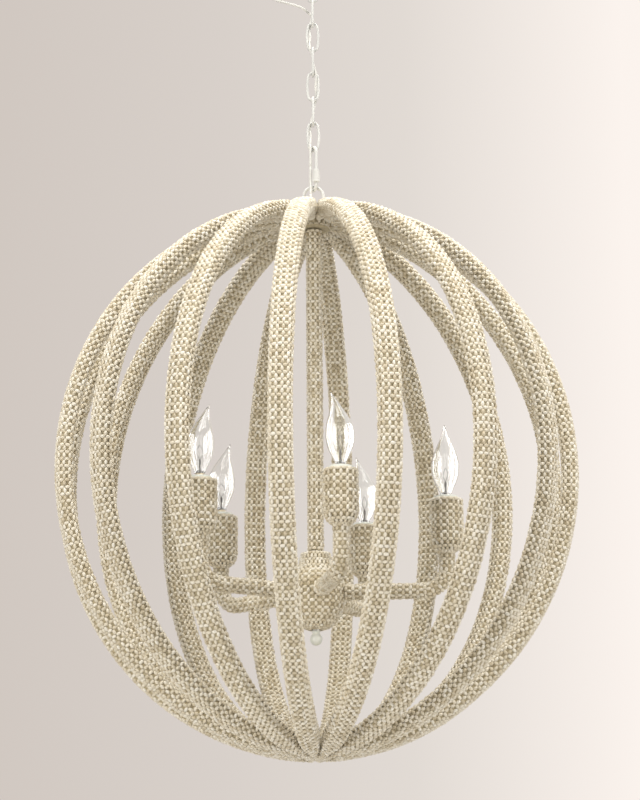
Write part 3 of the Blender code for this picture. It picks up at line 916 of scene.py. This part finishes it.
# ==== sockets, bulbs and finial =======================================================
def bulb_outline(shrink):
    """Radius and share of height up the bulb, rounded between its measured sizes."""
    spots = smoothed([Vector((r, s, 0.0)) for s, r in BULB_SHAPE], 3)
    return [(max(0.0003, p.x - shrink), p.y) for p in spots]


def bulb_ring(centre, turn, radius, share, foot, sides=32):
    lean = (share - BULB_LEAN_START) / (1 - BULB_LEAN_START)
    lean = BULB_TIP_LEAN * max(0.0, lean) ** 2.2
    middle = Vector((centre[0] + lean * math.cos(turn), centre[1] + lean * math.sin(turn),
                     foot + BULB_HEIGHT * share))
    return [middle + Vector((radius * math.cos(math.tau * j / sides),
                             radius * math.sin(math.tau * j / sides), 0.0))
            for j in range(sides)]


def make_bulb(number, centre, turn, lift):
    body = f"bulb_{number}"
    seat = CUP_RIM_Z + SOCKET_RISE + ORB_Z + lift
    foot = seat + BULB_NECK_GAP
    outer = [bulb_ring(centre, turn, r, s, foot) for r, s in bulb_outline(0.0)]
    wall = [(r, s) for r, s in bulb_outline(BULB_GLASS) if 0.02 < s < 0.965]
    cavity = [bulb_ring(centre, turn, r, s, foot) for r, s in reversed(wall)]
    points, faces = skin(outer)
    inside, hollow = skin(cavity)
    offset = len(points)
    faces += [tuple(i + offset for i in face) for face in hollow]
    envelope = add_piece(f"bulb_{number}_glass", points + inside, faces, GLASS)
    flip_cavity(envelope, offset)
    BULB_PIECES.objects.link(envelope)
    finish_piece(envelope, body, "clear_glass", f"bulb_{number}")

    # the threaded screw base, down in the socket
    base_top = seat + BULB_NECK_GAP - 0.0003
    base_low = seat - BULB_BASE_DEPTH
    profile = [(0.0, base_low), (0.0022, base_low), (0.0034, base_low + 0.0016),
               (0.0050, base_low + 0.0026)]
    turns = 4
    for i in range(turns * 4):
        height = base_low + 0.0030 + (base_top - base_low - 0.0036) * i / (turns * 4 - 1)
        profile.append((0.0054 + 0.0005 * math.sin(i * math.pi / 2), height))
    profile += [(0.0056, base_top), (0.0, base_top)]
    points, faces = turned(profile, 28, centre)
    finish_piece(add_piece(f"bulb_{number}_screw_base", points, faces, BRASS), body, "zinc_steel")

    # glass mount, two lead wires and the hairpin filament
    up = Vector((centre[0], centre[1], foot))
    mount = [(0.0, 0.0), (0.0040, 0.0), (0.0022, 0.0030), (0.0009, 0.0060), (0.0009, 0.0095),
             (0.0014, 0.0108), (0.0014, 0.0150), (0.0006, 0.0164), (0.0, 0.0164)]
    points, faces = turned([(r, z + foot) for r, z in mount], 20, centre)
    finish_piece(add_piece(f"bulb_{number}_mount", points, faces, TUNGSTEN), body, "zinc_steel")
    side = Vector((math.cos(turn + 0.6), math.sin(turn + 0.6), 0.0))
    lead = [(-0.0007, 0.0155), (-0.0010, 0.0175), (-0.0052, 0.0240), (-0.0012, 0.0312),
            (0.0, 0.0320), (0.0012, 0.0312), (0.0052, 0.0240), (0.0010, 0.0175), (0.0007, 0.0155)]
    wire = smoothed([up + side * x + Vector((0, 0, z)) for x, z in lead], 6)
    points, faces = skin(swept_rings(wire, 0.00030, 6))
    finish_piece(add_piece(f"bulb_{number}_filament", points, faces, TUNGSTEN), body,
                 "zinc_steel")


def flip_cavity(piece, first):
    """Turns the hollow's faces to look into the hollow, as the inner side of a glass wall."""
    shape = bmesh.new()
    shape.from_mesh(piece.data)
    shape.faces.ensure_lookup_table()
    inner = [f for f in shape.faces if min(v.index for v in f.verts) >= first]
    corners = [v.co for f in inner for v in f.verts]
    centre = sum(corners, Vector()) / len(corners)
    score = sum((f.calc_center_median() - centre).dot(f.normal) * f.calc_area() for f in inner)
    if score > 0:
        bmesh.ops.reverse_faces(shape, faces=inner)
    shape.to_mesh(piece.data)
    shape.free()


def make_sockets():
    top = CUP_RIM_Z + SOCKET_RISE
    low = CUP_RIM_Z - CUP_HEIGHT + CUP_FLOOR_THICKNESS + 0.0003
    bore = top - BULB_BASE_DEPTH - 0.0020
    outline = [(0.0, low), (SOCKET_RADIUS - 0.0020, low), (SOCKET_RADIUS, low + 0.0020),
               (SOCKET_RADIUS, top - 0.0009), (SOCKET_RADIUS - 0.0003, top - 0.0003),
               (SOCKET_RADIUS - 0.0009, top), (0.0098, top), (0.0094, top - 0.0005),
               (0.0080, top - 0.0005), (0.0076, top), (SOCKET_BORE + 0.0003, top),
               (SOCKET_BORE, top - 0.0003), (SOCKET_BORE, bore), (0.0, bore)]
    for k in range(ARM_COUNT):
        place = candle_place(k + 1)
        points, faces = turned(lifted(outline, ARM_LIFTS[k]), 48, place)
        finish_piece(add_piece(f"socket_{k + 1}_shell", points, faces, PORCELAIN), "orb",
                     "socket_white", f"socket_{k + 1}")
        make_bulb(k + 1, place, BULB_TURNS[k], ARM_LIFTS[k] + BULB_SEATS[k])


def make_finial():
    top = PIPE_LOW - 0.0003
    outline = [(0.0, top), (0.0052, top), (0.0054, top - 0.0006), (0.0044, top - 0.0012),
               (0.0040, top - 0.0021)]
    for i in range(1, 15):
        angle = math.pi * (0.19 + 0.81 * i / 15)
        outline.append((FINIAL_RADIUS * math.sin(angle),
                        FINIAL_Z + FINIAL_RADIUS * math.cos(angle)))
    outline.append((0.0, FINIAL_Z - FINIAL_RADIUS))
    points, faces = turned(lifted(outline), 36)
    finish_piece(add_piece("finial_ball", points, faces, PORCELAIN), "orb", "white_paint",
                 "finial")


# ==== rings, chain, connector =========================================================
def oval_path(half_width, half_length, end_radius, centre_z, turn, steps=14):
    """A closed oval: round ends, and sides that swell from the ends to the half width."""
    straight = half_length - end_radius
    spots = []
    for sign in (1, -1):
        for i in range(steps + 1):
            angle = math.pi * i / steps
            spots.append((sign * end_radius * math.cos(angle),
                          sign * (straight + end_radius * math.sin(angle))))
        for share in (0.75, 0.5, 0.25, 0.0, -0.25, -0.5, -0.75):
            width = end_radius + (half_width - end_radius) * (1 - share * share)
            spots.append((-sign * width, sign * straight * share))
    return [Vector((x * math.cos(turn), x * math.sin(turn), centre_z + z)) for x, z in spots]


def ring_path(centre_z, radius, steps=40):
    return [Vector((radius * math.sin(math.tau * i / steps), 0.0,
                    centre_z + radius * math.cos(math.tau * i / steps))) for i in range(steps)]


def wire_piece(name, path, radius, body, node=None, sides=14):
    points, faces = skin(swept_rings(path, radius, sides, closed=True), closed=True)
    piece = add_piece(name, points, faces, WHITE)
    return finish_piece(piece, body, "white_paint", *([node] if node else []))


def make_chain():
    for k in range(LINK_COUNT):
        centre = TOP_LINK_Z - k * LINK_PITCH + ORB_Z
        turn = math.pi / 2 if k % 2 == 0 else 0.0
        wire_piece(f"link_{k + 1}_wire",
                   oval_path(LINK_HALF_WIDTH, LINK_HALF_LENGTH, LINK_END_RADIUS, centre, turn),
                   LINK_WIRE, f"link_{k + 1}", f"chain_link_{k + 1}")
    low, high = QUICK_Z
    wire_piece("quick_link_wire",
               oval_path(QUICK_HALF_WIDTH, (high - low) / 2, QUICK_HALF_WIDTH,
                         (low + high) / 2 + ORB_Z, QUICK_TURN, 18),
               QUICK_WIRE, "connector", "quick_link")
    low, high = QUICK_NUT_Z
    place = (-QUICK_HALF_WIDTH * math.cos(QUICK_TURN), -QUICK_HALF_WIDTH * math.sin(QUICK_TURN))
    bore = QUICK_WIRE + 0.0003
    outline = [(bore, low), (0.0033, low), (QUICK_NUT_RADIUS, low + 0.0007),
               (QUICK_NUT_RADIUS, high - 0.0007), (0.0033, high), (bore, high)]
    points, faces = turned(lifted(outline), 6, place)
    finish_piece(add_piece("quick_link_hex_nut", points, faces, WHITE, smooth=False),
                 "connector", "white_paint", "quick_link_nut")


def make_loops():
    low = TOP_HUB_Z[1] + 0.0007
    wire_piece("hang_loop_ring", ring_path(HANG_RING_Z + ORB_Z, RING_RADIUS), RING_WIRE, "orb",
               "hang_loop")
    foot = [(0.0, low), (0.0066, low), (0.0070, low + 0.0004), (0.0070, low + 0.0038),
            (0.0064, low + 0.0046), (0.0038, low + 0.0074), (0.0, low + 0.0080)]
    points, faces = turned(lifted(foot), 32)
    finish_piece(add_piece("hang_loop_foot", points, faces, WHITE), "orb", "white_paint")

    centre = TOP_LINK_Z + LINK_HALF_LENGTH - LINK_WIRE - 0.0003 - RING_WIRE + RING_RADIUS
    wire_piece("canopy_loop_ring", ring_path(centre + ORB_Z, RING_RADIUS), RING_WIRE, "canopy",
               "canopy_loop")
    collar = -CANOPY_DEPTH - 0.0003
    top = centre + RING_RADIUS + ORB_Z
    nut = [(0.0, top - 0.0010), (0.0040, top - 0.0005), (0.0078, collar - 0.0034),
           (0.0085, collar - 0.0028), (0.0085, collar), (0.0047, collar),
           (0.0047, -STRAP_THICKNESS - 0.0003), (0.0, -STRAP_THICKNESS - 0.0003)]
    points, faces = turned(nut, 36)
    finish_piece(add_piece("canopy_loop_collar", points, faces, WHITE), "canopy", "white_paint")


def make_canopy():
    depth, wall = -CANOPY_DEPTH, CANOPY_WALL
    shell = [Vector((r, 0.0, z)) for r, z in (
        (0.0380, depth), (0.0452, depth + 0.0010), (0.0520, depth + 0.0044),
        (0.0578, depth + 0.0096), (0.0612, depth + 0.0150), (CANOPY_RADIUS - 0.0010, -0.0040),
        (CANOPY_RADIUS - 0.0004, -0.0012), (CANOPY_RADIUS, 0.0))]
    outer = [(p.x, p.z) for p in smoothed(shell, 4)]
    inner = [(max(0.0054, r - wall * 0.9), min(0.0, z + wall * 0.75)) for r, z in reversed(outer)]
    inner[-1] = (0.0375, depth + wall)
    outline = [(0.0054, depth)] + outer + inner[1:] + [(0.0054, depth + wall)]
    points, faces = turned(outline, 72)
    finish_piece(add_piece("canopy_shell", points, faces, WHITE), "canopy", "white_paint",
                 "ceiling_canopy")
    grommet = [(CORD_RADIUS + 0.0001, depth - 0.0010), (0.0030, depth - 0.0010),
               (0.0034, depth - 0.0004), (0.0034, depth), (0.0022, depth), (0.0022, depth + wall),
               (0.0034, depth + wall), (0.0032, depth + wall + 0.0008),
               (CORD_RADIUS + 0.0001, depth + wall + 0.0008)]
    points, faces = turned(grommet, 24, CORD_CANOPY_HOLE)
    finish_piece(add_piece("cord_grommet", points, faces, PORCELAIN), "canopy", "socket_white")


# ==== supply cord =====================================================================
def cord_route():
    """From inside the canopy, round its slack loop, then down the chain to the top hub."""
    slack = [
        (CORD_CANOPY_HOLE[0], 0.0, 0.6950), (CORD_CANOPY_HOLE[0], 0.0, 0.6800),
        (-0.0275, 0.0, 0.6710), (-0.0360, -0.0005, 0.6620), (-0.0480, -0.0012, 0.6530),
        (-0.0590, -0.0020, 0.6410), (-0.0655, -0.0026, 0.6270), (-0.0655, -0.0032, 0.6120),
        (-0.0590, -0.0036, 0.6000), (-0.0480, -0.0038, 0.5925), (-0.0360, -0.0038, 0.5885),
        (-0.0250, -0.0036, 0.5855), (-0.0165, -0.0034, 0.5828), (-0.0105, -0.0033, 0.5795),
    ]
    points = [Vector(p) for p in slack]
    start = TOP_LINK_Z - CORD_START_LINK * LINK_PITCH - 0.0030
    end = LOWEST_LINK_Z - 0.0140
    count = 46
    for i in range(count + 1):
        z = start + (end - start) * i / count
        part = (TOP_LINK_Z - z) / LINK_PITCH
        angle = math.pi + math.pi / 2 * (part - CORD_START_LINK - 1)
        reach = 0.00395 - 0.0008 * math.cos(math.tau * part)
        points.append(Vector((reach * math.cos(angle), reach * math.sin(angle), z)))
    for depth, height in ((-0.0034, 0.3920), (-0.0036, 0.3780), (-0.0042, 0.3640),
                          (-0.0056, 0.3520), (-0.0078, 0.3420), (-0.0098, 0.3330),
                          (CORD_HUB_HOLE[1], 0.3220), (CORD_HUB_HOLE[1], TOP_HUB_Z[0] + 0.0075)):
        points.append(Vector((CORD_HUB_HOLE[0], depth, height)))
    return [p + Vector((0, 0, ORB_Z)) for p in points]


def make_cord():
    """One swept cord, cut where the chain's bodies change over; only the top piece goes with the
    canopy and the foot with the orb.
    """
    path = smoothed(cord_route(), 4)
    rings = swept_rings(path, CORD_RADIUS, 12)
    chain = ["canopy"] + [f"link_{k}" for k in range(1, LINK_COUNT + 1)] + ["connector", "orb"]
    cuts = [-0.0370]
    cuts += [TOP_LINK_Z - k * LINK_PITCH + ORB_Z for k in range(LINK_COUNT)]
    cuts += [sum(QUICK_Z) / 2 + ORB_Z, HANG_RING_Z + ORB_Z]
    marks = [min(range(len(path)), key=lambda i: abs(path[i].z - cut)) for cut in cuts]
    first = add_piece("supply_cord_top", *skin(rings[:marks[0] + 1]), CORD)
    finish_piece(first, "canopy", "cord_white", "supply_cord")
    for n in range(len(chain) - 1):
        begin, finish = marks[n], marks[n + 1]
        part = add_piece(f"supply_cord_part_{n + 1}", *skin(rings[begin:finish + 1]), CORD)
        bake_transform(part)
    foot = add_piece("supply_cord_foot", *skin(rings[marks[-1]:]), CORD)
    finish_piece(foot, "orb", "cord_white")


# ==== make everything =================================================================
make_ribs()
make_stem()
make_hubs()
make_body()
make_arms()
make_sockets()
make_finial()
make_chain()
make_loops()
make_canopy()
make_cord()

for node in ("mounting_strap", "strap_screw_a", "strap_screw_b", "centre_pipe"):
    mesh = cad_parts[node].data
    mesh.materials.clear()
    mesh.materials.append(STEEL)
